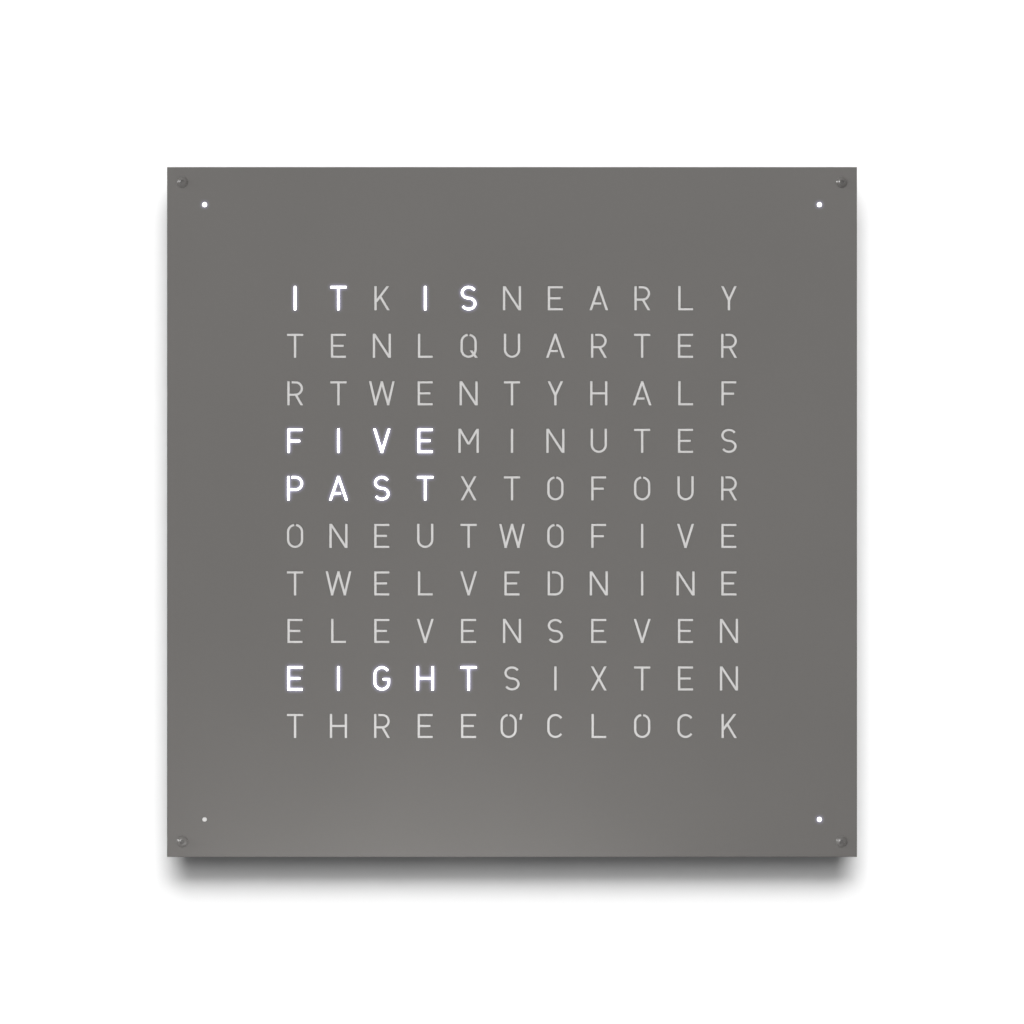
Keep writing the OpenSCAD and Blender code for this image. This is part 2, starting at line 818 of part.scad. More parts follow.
module board_plug() {
    depth = control_y - led_back_y - connector_base_t;
    reach = depth - tongue_floor - tongue_gap;
    inset = tongue_end + tongue_gap;
    color([0.85, 0.83, 0.75])
        translate([connector_x, led_back_y, connector_z]) {
            translate([-connector_w / 2, 0, -connector_l / 2])
                cube([connector_w, connector_base_t, connector_l]);
            translate([-connector_w / 2 + inset, 0, -tongue_w / 2])
                cube([connector_w - 2 * inset, connector_base_t + reach, tongue_w]);
        }
}

// The inlet's mouth looks down through the opening in the housing
module dc_jack() {
    z0 = -inner_half + jack_gap;
    color([0.1, 0.1, 0.1])
        difference() {
            translate([jack_x - jack_w / 2, control_y - jack_h, z0])
                cube([jack_w, jack_h, jack_l]);
            rod_z(jack_x, control_y - jack_axis, z0 - eps, jack_bore_l + eps, jack_bore_d);
        }
}

module dc_jack_pin() {
    z0 = -inner_half + jack_gap + jack_pin_setback;
    color([0.8, 0.8, 0.8])
        rod_z(jack_x, control_y - jack_axis, z0, jack_bore_l - jack_pin_setback, jack_pin_d);
}

// -------------------------------------------------------------- buttons
// k is the button's place in the row: -1, 0 or 1
module switch_body(k) {
    z0 = control_z + switch_setback;
    hold = plunger_hold + button_travel + plunger_fit;
    color([0.2, 0.2, 0.2])
        difference() {
            translate([button_x + k * button_pitch - switch_w / 2, control_y - switch_h, z0])
                cube([switch_w, switch_h, switch_l]);
            rod_z(button_x + k * button_pitch, button_y, z0 - eps, hold + eps,
                  plunger_d + 2 * plunger_fit);
        }
}

module plunger(k) {
    z0 = -inner_half + flange_gap + cap_flange_t;
    z1 = control_z + switch_setback + plunger_hold;
    color([0.85, 0.85, 0.85])
        rod_z(button_x + k * button_pitch, button_y, z0, z1 - z0, plunger_d);
}

module button_cap(k) {
    top = -inner_half + flange_gap;
    low = -housing_half - button_proud;
    color([0.1, 0.1, 0.1])
        difference() {
            union() {
                rod_z(button_x + k * button_pitch, button_y, low, top - low, button_d);
                rod_z(button_x + k * button_pitch, button_y, top, cap_flange_t, cap_flange_d);
            }
            translate([button_x + k * button_pitch, button_y, low + cap_dish_depth - cap_dish_r])
                sphere(cap_dish_r);
        }
}

module hour_switch() { switch_body(-1); }
module minute_switch() { switch_body(0); }
module mode_switch() { switch_body(1); }
module hour_plunger() { plunger(-1); }
module minute_plunger() { plunger(0); }
module mode_plunger() { plunger(1); }
module hour_button() { button_cap(-1); }
module minute_button() { button_cap(0); }
module mode_button() { button_cap(1); }

front_cover();
cover_screws();
thread_inserts();
diffuser_sheet();
light_grid();
minute_light_tubes();
led_board_upper_left();
led_board_upper_right();
led_board_lower_left();
led_board_lower_right();
matrix_leds();
minute_leds();
led_drivers();
board_links();
board_standoffs();
board_screws();
housing_rail(0, 1);  // housing_top
housing_rail(0, -1);  // housing_bottom
housing_rail(-1, 0);  // housing_left
housing_rail(1, 0);  // housing_right
rear_panel();
rear_panel_screws();
keyhole_cups();
control_board();
control_board_standoffs();
control_board_screws();
microcontroller();
clock_chip();
quartz_crystal();
coin_cell_holder();
coin_cell();
voltage_regulator();
smoothing_capacitors();
board_socket();
board_plug();
dc_jack();
dc_jack_pin();
hour_switch();
minute_switch();
mode_switch();
hour_plunger();
minute_plunger();
mode_plunger();
hour_button();
minute_button();
mode_button();
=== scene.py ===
"""The looks of a square wall word clock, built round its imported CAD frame."""
import json
import math

import bpy
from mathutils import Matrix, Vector
from mathutils.geometry import delaunay_2d_cdt


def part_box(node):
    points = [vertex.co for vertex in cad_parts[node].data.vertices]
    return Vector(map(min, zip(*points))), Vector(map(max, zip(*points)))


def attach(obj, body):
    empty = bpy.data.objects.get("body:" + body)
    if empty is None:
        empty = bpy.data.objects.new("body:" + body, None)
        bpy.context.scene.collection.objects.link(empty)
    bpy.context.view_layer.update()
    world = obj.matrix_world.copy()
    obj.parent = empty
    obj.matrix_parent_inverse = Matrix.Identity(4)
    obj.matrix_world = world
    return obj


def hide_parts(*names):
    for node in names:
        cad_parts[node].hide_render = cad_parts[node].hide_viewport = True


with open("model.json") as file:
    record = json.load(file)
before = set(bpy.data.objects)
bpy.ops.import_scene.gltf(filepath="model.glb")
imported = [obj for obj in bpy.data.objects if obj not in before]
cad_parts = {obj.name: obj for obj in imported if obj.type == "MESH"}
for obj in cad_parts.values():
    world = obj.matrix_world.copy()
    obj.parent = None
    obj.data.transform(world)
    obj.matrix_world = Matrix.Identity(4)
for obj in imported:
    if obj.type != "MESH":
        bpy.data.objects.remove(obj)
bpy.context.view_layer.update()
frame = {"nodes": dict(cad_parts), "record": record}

MM = 0.001
MICRON = 0.000001

# ------------------------------------------------------------------ sizes
# Places come from the CAD nodes' own boxes; the rest repeats the CAD's values, in millimetres.
cover_low, cover_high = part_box("front_cover")
COVER_HALF = cover_high.x / MM
COVER_FRONT = cover_low.y / MM
COVER_BACK = cover_high.y / MM
COLUMN_PITCH = 28.3
ROW_PITCH = 31.0
SCREW_HALF = 215.0
SCREW_HOLE_R = 2.25
DOT_HALF = 200.5
DOT_R = 1.5
LED_TOP = -10.2
LED_WELL_DEPTH = 0.4
LENS_DOME = 14.0
LENS_STANDS_PROUD = 0.12

# The cover is a sheet with broken edges: a fine break at each letter, a wider one all round
LETTER_EDGE = 0.16
OUTER_EDGE = 0.35
INLAY_EDGE = 0.05
INLAY_RECESS = 0.25
HOLE_SIDES = 32

# Faces that meet at more than this angle show an edge
SHEET_SHARP = math.radians(40)
ROUND_SHARP = math.radians(32)

# The photograph's frame and the cover's width in it, in pixels
FRAME_PX = 1024
COVER_PX = 690

# Letters: capital height, stroke, easing of corners and bridges, in millimetres
CAP = 15.8
STROKE = 1.5
TOP = CAP / 2
HALF_STROKE = STROKE / 2
MID_TOP = TOP - HALF_STROKE
CORNER = 0.32
BRIDGE = 1.3
ARC_STEP = 15           # degrees
LONGEST_EASE = 0.45     # of a side

# The dial's words: each row fills eleven cells, and an apostrophe shares its letter's cell
DIAL = [
    "ITKISNEARLY",
    "TENLQUARTER",
    "RTWENTYHALF",
    "FIVEMINUTES",
    "PASTXTOFOUR",
    "ONEUTWOFIVE",
    "TWELVEDNINE",
    "ELEVENSEVEN",
    "EIGHTSIXTEN",
    "THREEO'CLOCK",
]
ROWS = len(DIAL)
COLUMNS = len(DIAL[0])

# Lit cells as runs: first and last row, first and last column, from the upper left
LIT_RUNS = [(0, 0, 0, 1), (0, 0, 3, 4), (3, 4, 0, 3), (8, 8, 0, 4)]
# Lit corner dots: left or right, lower or upper
LIT_DOTS = [(-1, 1), (1, 1), (1, -1)]
LIT_DOT_REACH = 4.0


def column_x(c):
    """The middle of a column, or of a place between columns, in millimetres."""
    return (c - (COLUMNS - 1) / 2) * COLUMN_PITCH


def row_z(r):
    """The middle of a row, counted from the top, in millimetres."""
    return ((ROWS - 1) / 2 - r) * ROW_PITCH


# ------------------------------------------------------- letter outlines
def eased(points, radius=CORNER):
    """The outline with each corner turned into a small arc."""
    (x0, z0), (x1, z1), (x2, z2) = points[:3]
    if (x1 - x0) * (z2 - z0) < (x2 - x0) * (z1 - z0):
        points = points[::-1]
    ring = []
    count = len(points)
    for i in range(count):
        here = Vector(points[i])
        back = Vector(points[i - 1]) - here
        on = Vector(points[(i + 1) % count]) - here
        reach = min(radius, LONGEST_EASE * back.length, LONGEST_EASE * on.length)
        start = here + back.normalized() * reach
        end = here + on.normalized() * reach
        middle = 0.25 * start + 0.5 * here + 0.25 * end
        ring += [tuple(start), tuple(middle), tuple(end)]
    return ring


def bar(x0, x1, z):
    """A level stroke."""
    h = HALF_STROKE
    return eased([(x0, z - h), (x1, z - h), (x1, z + h), (x0, z + h)])


def stem(x, z0=-TOP, z1=TOP):
    """An upright stroke."""
    h = HALF_STROKE
    return eased([(x - h, z0), (x + h, z0), (x + h, z1), (x - h, z1)])


def slope(x0, x1, z0=-TOP, z1=TOP):
    """A sloping stroke cut level at both ends, with its outer corners at x0 and x1."""
    side = 1 if x1 > x0 else -1
    width = STROKE
    rounds = 6      # the width and the lean depend on each other, and settle in a few rounds
    for _ in range(rounds):
        run = abs(x1 - x0) - width
        width = STROKE * math.hypot(run, z1 - z0) / abs(z1 - z0)
    return eased([(x0, z0), (x0 + side * width, z0), (x1, z1), (x1 - side * width, z1)])


def arc(x, z, rx, rz, start, end):
    """Points on an ellipse from one angle to another, in degrees."""
    steps = max(2, round(abs(end - start) / ARC_STEP))
    turns = [math.radians(start + (end - start) * k / steps) for k in range(steps + 1)]
    return [(x + rx * math.cos(t), z + rz * math.sin(t)) for t in turns]


def track(path):
    """A stroke that follows a smooth path of points, with square ends."""
    left, right = [], []
    last = len(path) - 1
    for i, p in enumerate(path):
        along = Vector(path[min(i + 1, last)]) - Vector(path[max(i - 1, 0)])
        aside = Vector((-along.y, along.x)).normalized() * HALF_STROKE
        left.append((p[0] + aside.x, p[1] + aside.y))
        right.append((p[0] - aside.x, p[1] - aside.y))
    return right + left[::-1]


def loop_path(half_width, start, end):
    """Part of an upright loop, by degrees anticlockwise from its right side."""
    path = []
    for turn in range(3):
        low = 180 * turn
        first, last = max(start, low), min(end, low + 180)
        if first < last:
            rise = MID_TOP - half_width
            path += arc(0, -rise if turn % 2 else rise, half_width, half_width, first, last)
    return path


def bowl(low):
    """The closed side of a D, P or R: bars at the top and at low, joined by a half round."""
    left, right, high, widest = -4.3, 4.4, MID_TOP, 4.4
    r = min((high - low) / 2, widest)
    path = [(left + BRIDGE + HALF_STROKE, high), (right - r, high)]
    path += arc(right - r, high - r, r, r, 90, 0)[1:]
    if high - low > 2 * r:
        path.append((right, (high + low) / 2))
    path += arc(right - r, low + r, r, r, 0, -90)
    path.append((left, low))
    return track(path)


def stencil_letters():
    """The strokes of each letter, as closed outlines round the middle of its cell."""
    loop = 4.55         # half width of the round letters, at the middle of the stroke
    point = 0.95        # half width of a point where two sloping strokes meet
    waist = -0.9        # foot of the bowl of P and R
    drop = -2.4         # where the slopes of the M meet
    fork = -1.6         # where the slopes of the Y meet
    foot = 4.15         # half the distance between the feet of the W
    gap = math.degrees(BRIDGE / 2 / loop)
    ring = track(loop_path(loop, 90 + gap, 450 - gap))
    curl = MID_TOP / 2
    double_curl = arc(0, curl, 4.25, curl, 28, 270) + arc(0, -curl, 4.25, curl, 90, -152)[1:]
    cup = arc(0, loop - MID_TOP, loop, loop, 180, 360)
    return {
        "A": [slope(-6.1, point), slope(6.1, -point), bar(-3.9, 1.6, -3.4)],
        "C": [track(loop_path(loop, 32, 328))],
        "D": [stem(-4.3), bowl(-MID_TOP)],
        "E": [stem(-4.95 + HALF_STROKE), bar(-4.95, 3.4, 0), bar(-4.95, 4.9, -MID_TOP),
              bar(-4.95, 4.9, MID_TOP)],
        "F": [stem(-4.9 + HALF_STROKE), bar(-4.9, 4.8, MID_TOP), bar(-4.9, 3.3, -0.2)],
        "G": [track(loop_path(loop, 32, 360) + [(loop, -0.6)]),
              bar(0.6, loop + HALF_STROKE, -0.6)],
        "H": [stem(-4.85), stem(4.85), bar(-5, 5, 0)],
        "I": [stem(0)],
        "K": [stem(-4.1), slope(-4.9, 4.9, -2.6, TOP), slope(5.2, -2.2, -TOP, 1.6)],
        "L": [stem(-4.0), bar(-4.0 - HALF_STROKE, 4.9, -MID_TOP)],
        "M": [stem(-5.9), stem(5.9), slope(point, -6.77, drop, TOP),
              slope(-point, 6.77, drop, TOP)],
        "N": [stem(-5.15), stem(5.15), slope(6.02, -6.02)],
        "O": [ring],
        "P": [stem(-4.3), bowl(waist)],
        "Q": [ring, slope(6.1, 0.6, -TOP, -3.0)],
        "R": [stem(-4.3), bowl(waist), slope(5.3, -0.6, -TOP, -0.6)],
        "S": [track(double_curl)],
        "T": [stem(0), bar(-5.3, 5.3, MID_TOP)],
        "U": [track([(-loop, TOP), (-loop, 0)] + cup + [(loop, 0), (loop, TOP)])],
        "V": [slope(point, -5.55), slope(-point, 5.55)],
        "W": [slope(-foot + point, -8.4), slope(foot - point, 8.4),
              slope(-foot - point, point), slope(foot + point, -point)],
        "X": [slope(-5.2, 5.2), slope(5.2, -5.2)],
        "Y": [stem(0, -TOP, 0), slope(point, -5.1, fork, TOP), slope(-point, 5.1, fork, TOP)],
    }


def with_apostrophe(strokes):
    """The letter's strokes moved left, with an apostrophe at their right."""
    shift, left, right, height = 2.2, 4.7, 6.9, 3.9
    moved = [[(x - shift, z) for x, z in ring] for ring in strokes]
    return moved + [slope(left, right, TOP - height, TOP)]


def dial_cells():
    """Each cell's letter and whether an apostrophe follows it, by column and row."""
    cells = {}
    for r, word in enumerate(DIAL):
        letters = word.replace("'", "")
        marked = word.find("'") - 1
        for c, letter in enumerate(letters):
            cells[c, r] = (letter, c == marked)
    return cells


# ------------------------------------------------- sheets cut from outlines
def circle(x, z, r):
    """A round hole's outline."""
    turns = [math.tau * k / HOLE_SIDES for k in range(HOLE_SIDES)]
    return [(x + r * math.cos(t), z + r * math.sin(t)) for t in turns]


def parted(plate, cuts):
    """The plate in triangles: all points, the faces outside every cut and those inside one."""
    points, faces = [], []
    for ring in [plate] + cuts:
        faces.append(list(range(len(points), len(points) + len(ring))))
        points += [Vector(p) for p in ring]
    keep_all, near = 0, 1e-5
    found = delaunay_2d_cdt(points, [], faces, keep_all, near, True)
    new_points, triangles, sources = found[0], found[2], found[5]
    outside = [f for f, s in zip(triangles, sources) if set(s) == {0}]
    inside = [f for f, s in zip(triangles, sources) if set(s) - {0}]
    return [tuple(p) for p in new_points], outside, inside


class Flat:
    """A flat figure of triangles whose shared points are kept once."""

    def __init__(self):
        self.points = []
        self.triangles = []
        self.known = {}

    def add(self, points, triangles, x=0.0, z=0.0):
        """Adds triangles, moved by x and z, and joins their points to those already there."""
        place = {}
        for f in triangles:
            for i in f:
                if i not in place:
                    p = (points[i][0] + x, points[i][1] + z)
                    key = (round(p[0], 3), round(p[1], 3))
                    if key not in self.known:
                        self.known[key] = len(self.points)
                        self.points.append(p)
                    place[i] = self.known[key]
            ring = [place[i] for i in f]
            if len(set(ring)) == 3:
                self.triangles.append(ring)

    def borders(self):
        """The border's edges in their triangles' order, so with the inside to the left."""
        count = {}
        for f in self.triangles:
            (x0, z0), (x1, z1), (x2, z2) = (self.points[i] for i in f)
            if (x1 - x0) * (z2 - z0) < (x2 - x0) * (z1 - z0):
                f.reverse()
            for i in range(3):
                edge = (f[i - 1], f[i])
                count[edge] = count.get(edge, 0) + 1
        return [e for e in count if (e[1], e[0]) not in count]

    def inward(self, borders):
        """For each border point, the way into the figure that moves both its edges by one."""
        sides = {}
        for i, j in borders:
            x, z = (self.points[j][k] - self.points[i][k] for k in (0, 1))
            length = math.hypot(x, z)
            for p in (i, j):
                sides.setdefault(p, []).append(Vector((-z / length, x / length)))
        ways = {}
        longest, least = 2.0, 1e-6
        for p, (first, *rest) in sides.items():
            total = first + sum(rest, Vector((0, 0)))
            size = max(total.length, least)
            ways[p] = total / size * min(longest, len(sides[p]) / size)
        return ways


def solid_sheet(name, figure, front, back, edge_at):
    """A sheet between two depths in millimetres, its front edges eased by edge_at(x, z)."""
    borders = figure.borders()
    ways = figure.inward(borders)
    points = figure.points
    # The eased edge goes through three rings, by shares of its width inward and back
    steps = [(1.0, 0.0), (0.3, 0.3), (0.0, 1.0)]
    verts, rings = [], []
    for share, depth in steps:
        ring = {}
        for i, (x, z) in enumerate(points):
            if i in ways:
                edge = edge_at(x, z)
                ring[i] = len(verts)
                verts.append((x + ways[i].x * share * edge, front + depth * edge,
                              z + ways[i].y * share * edge))
            elif share == 1.0:
                ring[i] = len(verts)
                verts.append((x, front, z))
        rings.append(ring)
    rings.append({i: len(verts) + i for i in range(len(points))})
    verts += [(x, back, z) for x, z in points]
    faces = [[rings[0][i] for i in f] for f in figure.triangles]
    faces += [[rings[-1][i] for i in f[::-1]] for f in figure.triangles]
    flat_count = len(faces)
    for upper, lower in zip(rings, rings[1:]):
        faces += [[upper[j], upper[i], lower[i], lower[j]] for i, j in borders]
    mesh = bpy.data.meshes.new(name)
    mesh.from_pydata([(x * MM, y * MM, z * MM) for x, y, z in verts], [], faces)
    mesh.set_sharp_from_angle(angle=SHEET_SHARP)
    mesh.polygons.foreach_set("use_smooth", [k >= flat_count for k in range(len(faces))])
    return placed(name, mesh)


def placed(name, mesh):
    """A mesh as an object at the origin."""
    piece = bpy.data.objects.new(name, mesh)
    bpy.context.scene.collection.objects.link(piece)
    return piece


def cut_dial():
    """The cover's face with its cut-outs, and the letters and dots that come out of it."""
    cover, inlays = Flat(), Flat()
    across, up = COLUMN_PITCH / 2, ROW_PITCH / 2
    cell = [(-across, -up), (across, -up), (across, up), (-across, up)]
    alphabet = stencil_letters()
    done = {}
    for (c, r), kind in dial_cells().items():
        if kind not in done:
            strokes = alphabet[kind[0]]
            done[kind] = parted(cell, with_apostrophe(strokes) if kind[1] else strokes)
        points, outside, inside = done[kind]
        cover.add(points, outside, column_x(c), row_z(r))
        inlays.add(points, inside, column_x(c), row_z(r))
    # The field's border keeps every cell corner, so that the plain sheet joins the cells
    xs = [column_x(c - 0.5) for c in range(COLUMNS + 1)]
    zs = [row_z(r - 0.5) for r in range(ROWS + 1)]
    field = [(x, zs[-1]) for x in xs] + [(xs[-1], z) for z in zs[-2::-1]]
    field += [(x, zs[0]) for x in xs[-2::-1]] + [(xs[0], z) for z in zs[1:-1]]
    h = COVER_HALF
    edge = [(-h, -h), (h, -h), (h, h), (-h, h)]
    corners = [(x, z) for x in (-1, 1) for z in (-1, 1)]
    dots = [circle(x * DOT_HALF, z * DOT_HALF, DOT_R) for x, z in corners]
    screws = [circle(x * SCREW_HALF, z * SCREW_HALF, SCREW_HOLE_R) for x, z in corners]
    points, outside, _ = parted(edge, [field] + dots + screws)
    cover.add(points, outside)
    for ring in dots:
        points, _, inside = parted(ring, [ring])
        inlays.add(points, inside)
    return cover, inlays


# ------------------------------------------------------------- materials
class Finish:
    """A Principled material and the few nodes that its pattern needs."""

    def __init__(self, name, **sockets):
        self.material = bpy.data.materials.new(name)
        self.material.use_nodes = True
        self.tree = self.material.node_tree
        self.shader = self.tree.nodes["Principled BSDF"]
        for socket, value in sockets.items():
            self.shader.inputs[socket.replace("_", " ")].default_value = value
        self.place = self.tree.nodes.new("ShaderNodeTexCoord").outputs["Object"]

    def node(self, kind, **settings):
        made = self.tree.nodes.new("ShaderNode" + kind)
        for key, value in settings.items():
            if key in made.inputs:
                made.inputs[key].default_value = value
            else:
                setattr(made, key, value)
        return made

    def join(self, output, node, socket):
        self.tree.links.new(output, node.inputs[socket])

    def noise(self, scale, detail, stretch=None):
        made = self.node("TexNoise", Scale=scale, Detail=detail)
        self.join(self.stretched(stretch) if stretch else self.place, made, "Vector")
        return made.outputs["Fac"]

    def stretched(self, stretch):
        mapping = self.node("Mapping", Scale=stretch)
        self.join(self.place, mapping, "Vector")
        return mapping.outputs["Vector"]

    def speckle(self, scale):
        made = self.node("TexVoronoi", Scale=scale)
        self.join(self.place, made, "Vector")
        return made.outputs["Distance"]

    def range(self, source, low, high, start, end):
        """Goes from low to high as the source goes from start to end."""
        made = self.node("MapRange")
        for k, value in enumerate((start, end, low, high)):
            made.inputs[k + 1].default_value = value
        self.join(source, made, 0)
        return made.outputs[0]

    def math(self, operation, first, second):
        made = self.node("Math", operation=operation)
        for k, value in enumerate((first, second)):
            if isinstance(value, (int, float)):
                made.inputs[k].default_value = value
            else:
                self.join(value, made, k)
        return made.outputs[0]

    def blend(self, source, first, second, start=0.35, end=0.65):
        """Base colour between two colours, as the source goes from start to end."""
        ramp = self.node("ValToRGB")
        for stop, place, colour in zip(ramp.color_ramp.elements, (start, end), (first, second)):
            stop.position = place
            stop.color = (*colour, 1.0)
        self.join(source, ramp, "Fac")
        self.join(ramp.outputs["Color"], self.shader, "Base Color")

    def roughness(self, source, low, high):
        """Roughness between two values, by the middle of the source's range."""
        self.join(self.range(source, low, high, 0.3, 0.7), self.shader, "Roughness")

    def relief(self, source, depth, share, under=None):
        """A bump of the given depth in micrometres, on top of another one."""
        made = self.node("Bump", Strength=share, Distance=depth * MICRON)
        self.join(source, made, "Height")
        if under:
            self.join(under.outputs["Normal"], made, "Normal")
        self.join(made.outputs["Normal"], self.shader, "Normal")
        return made


def tinted(colour, share):
    """The colour made lighter or darker."""
    return tuple(min(1.0, c * share) for c in colour)


def powder_coat(name, colour, rough, peel=50):
    """Sprayed and baked powder: a fine peel and a grain over a slow drift in tone."""
    made = Finish(name, Specular_IOR_Level=0.35)
    made.blend(made.noise(9, 2), tinted(colour, 0.985), tinted(colour, 1.015))
    made.roughness(made.noise(350, 3), rough - 0.03, rough + 0.04)
    waves = made.relief(made.noise(700, 3), peel, 0.7)
    made.relief(made.speckle(2200), 0.6 * peel, 0.6, under=waves)
    return made.material


def moulded(name, colour, rough, grain=1400, gloss=0.4):
    """Moulded plastic with a fine spark-eroded grain and faint flow marks."""
    made = Finish(name, Specular_IOR_Level=gloss)
    made.blend(made.noise(30, 5), tinted(colour, 0.9), tinted(colour, 1.12))
    made.roughness(made.noise(220, 3), rough - 0.06, rough + 0.08)
    flow = made.relief(made.noise(45, 2), 50, 0.25)
    made.relief(made.noise(grain, 3), 60, 0.8, under=flow)
    return made.material


def turned_metal(name, colour, rough, stretch=(1.0, 1.0, 1.0)):
    """Bare or plated metal with fine tool marks and a few dull patches."""
    made = Finish(name, Metallic=1.0)
    made.blend(made.noise(120, 4), tinted(colour, 0.82), tinted(colour, 1.1))
    made.roughness(made.noise(300, 4), rough - 0.06, rough + 0.1)
    made.relief(made.noise(1500, 2, stretch), 12, 0.5)
    return made.material


def lit_mask(made):
    """One inside the lit cells and round the lit dots, by place on the dial."""
    split = made.node("SeparateXYZ")
    made.join(made.place, split, "Vector")
    x, z = split.outputs["X"], split.outputs["Z"]
    boxes = []
    for first, last, left, right in LIT_RUNS:
        boxes.append((column_x(left) - COLUMN_PITCH / 2, column_x(right) + COLUMN_PITCH / 2,
                      row_z(last) - ROW_PITCH / 2, row_z(first) + ROW_PITCH / 2))
    for side, height in LIT_DOTS:
        x_middle, z_middle = side * DOT_HALF, height * DOT_HALF
        boxes.append((x_middle - LIT_DOT_REACH, x_middle + LIT_DOT_REACH,
                      z_middle - LIT_DOT_REACH, z_middle + LIT_DOT_REACH))
    total = None
    for x0, x1, z0, z1 in boxes:
        sides = [made.math("GREATER_THAN", x, x0 * MM), made.math("LESS_THAN", x, x1 * MM),
                 made.math("GREATER_THAN", z, z0 * MM), made.math("LESS_THAN", z, z1 * MM)]
        inside = sides[0]
        for side in sides[1:]:
            inside = made.math("MULTIPLY", inside, side)
        total = inside if total is None else made.math("ADD", total, inside)
    return total


def opal_sheet(name, glow):
    """Milky acrylic that glows, a little unevenly, where its cell or dot is lit."""
    made = Finish(name, Specular_IOR_Level=0.3, Emission_Color=(1.0, 0.985, 1.0, 1.0))
    made.blend(made.noise(90, 4), (0.52, 0.512, 0.505), (0.546, 0.538, 0.531))
    made.roughness(made.noise(400, 3), 0.42, 0.55)
    made.relief(made.noise(1200, 2), 10, 0.4)
    cloud = made.range(made.noise(25, 2), 0.94, 1.06, 0.3, 0.7)
    light = made.math("MULTIPLY", lit_mask(made), glow)
    made.join(made.math("MULTIPLY", light, cloud), made.shader, "Emission Strength")
    return made.material


def board_laminate(name):
    """Solder mask over copper: groups of long raised lanes show where the tracks run."""
    made = Finish(name, Specular_IOR_Level=0.5)
    lanes = made.node("TexBrick", Scale=60.0, offset=0.37)
    for key, value in {"Brick Width": 3.1, "Row Height": 0.09, "Mortar Size": 0.026}.items():
        lanes.inputs[key].default_value = value
    turned = made.node("Mapping", Rotation=(math.pi / 2, 0.0, 0.0))
    made.join(made.place, turned, "Vector")
    made.join(turned.outputs["Vector"], lanes, "Vector")
    groups = made.range(made.noise(14, 1, (0.4, 1.0, 1.0)), 0.0, 1.0, 0.45, 0.48)
    copper = made.math("MULTIPLY", lanes.outputs["Fac"], groups)
    made.blend(copper, (0.012, 0.075, 0.035), (0.035, 0.15, 0.07), 0.2, 0.8)
    made.roughness(made.noise(300, 3), 0.28, 0.42)
    tracks = made.relief(copper, 40, 0.6)
    made.relief(made.noise(2500, 2), 10, 0.5, under=tracks)
    return made.material


def phosphor(name):
    """Silicone with phosphor grains in an LED's well."""
    made = Finish(name, Specular_IOR_Level=0.6, Subsurface_Weight=0.1)
    made.blend(made.noise(2200, 3), (0.78, 0.58, 0.12), (0.9, 0.74, 0.24))
    made.roughness(made.noise(900, 3), 0.18, 0.3)
    made.relief(made.noise(3000, 2), 8, 0.5)
    return made.material


def plain_stage(name, colour, rough, grain):
    """A painted surface that is only seen and lit from its front."""
    made = Finish(name, Specular_IOR_Level=0.1)
    made.blend(made.noise(3, 3), tinted(colour, 0.995), colour)
    made.roughness(made.noise(40, 2), rough - 0.03, rough + 0.03)
    made.relief(made.noise(grain, 3), 100, 0.1)
    clear = made.node("BsdfTransparent")
    mix = made.node("MixShader")
    made.join(made.node("NewGeometry").outputs["Backfacing"], mix, "Fac")
    made.join(made.shader.outputs["BSDF"], mix, 1)
    made.join(clear.outputs["BSDF"], mix, 2)
    made.join(mix.outputs["Shader"], made.tree.nodes["Material Output"], "Surface")
    return made.material


BARREL = (1.0, 12.0, 1.0)       # tool marks run round a part that lies along y
RECIPES = {
    "cover_coat": (powder_coat, (0.1135, 0.1083, 0.1033), 0.62),
    "panel_coat": (powder_coat, (0.028, 0.028, 0.030), 0.42, 120),
    "housing_plastic": (moulded, (0.026, 0.026, 0.028), 0.5),
    "button_plastic": (moulded, (0.15, 0.144, 0.138), 0.36, 2000, 0.5),
    "grid_plastic": (moulded, (0.03, 0.03, 0.032), 0.6),
    "chip_plastic": (moulded, (0.02, 0.02, 0.021), 0.45, 2600),
    "connector_plastic": (moulded, (0.7, 0.67, 0.58), 0.4),
    "plunger_plastic": (moulded, (0.74, 0.74, 0.72), 0.35),
    "capacitor_sleeve": (moulded, (0.03, 0.04, 0.1), 0.22, 800, 0.6),
    "led_body": (moulded, (0.82, 0.81, 0.74), 0.4, 2000),
    "screw_coat": (moulded, (0.118, 0.113, 0.108), 0.29, 2000, 0.6),
    "screw_steel": (turned_metal, (0.5, 0.5, 0.5), 0.26),
    "insert_brass": (turned_metal, (0.72, 0.5, 0.22), 0.3, BARREL),
    "standoff_aluminium": (turned_metal, (0.7, 0.7, 0.72), 0.32, BARREL),
    "can_steel": (turned_metal, (0.62, 0.61, 0.58), 0.22, (10.0, 1.0, 1.0)),
    "board_laminate": (board_laminate,),
    "opal_sheet": (opal_sheet, 3.2),
}
finishes = {name: make(name, *settings) for name, (make, *settings) in RECIPES.items()}


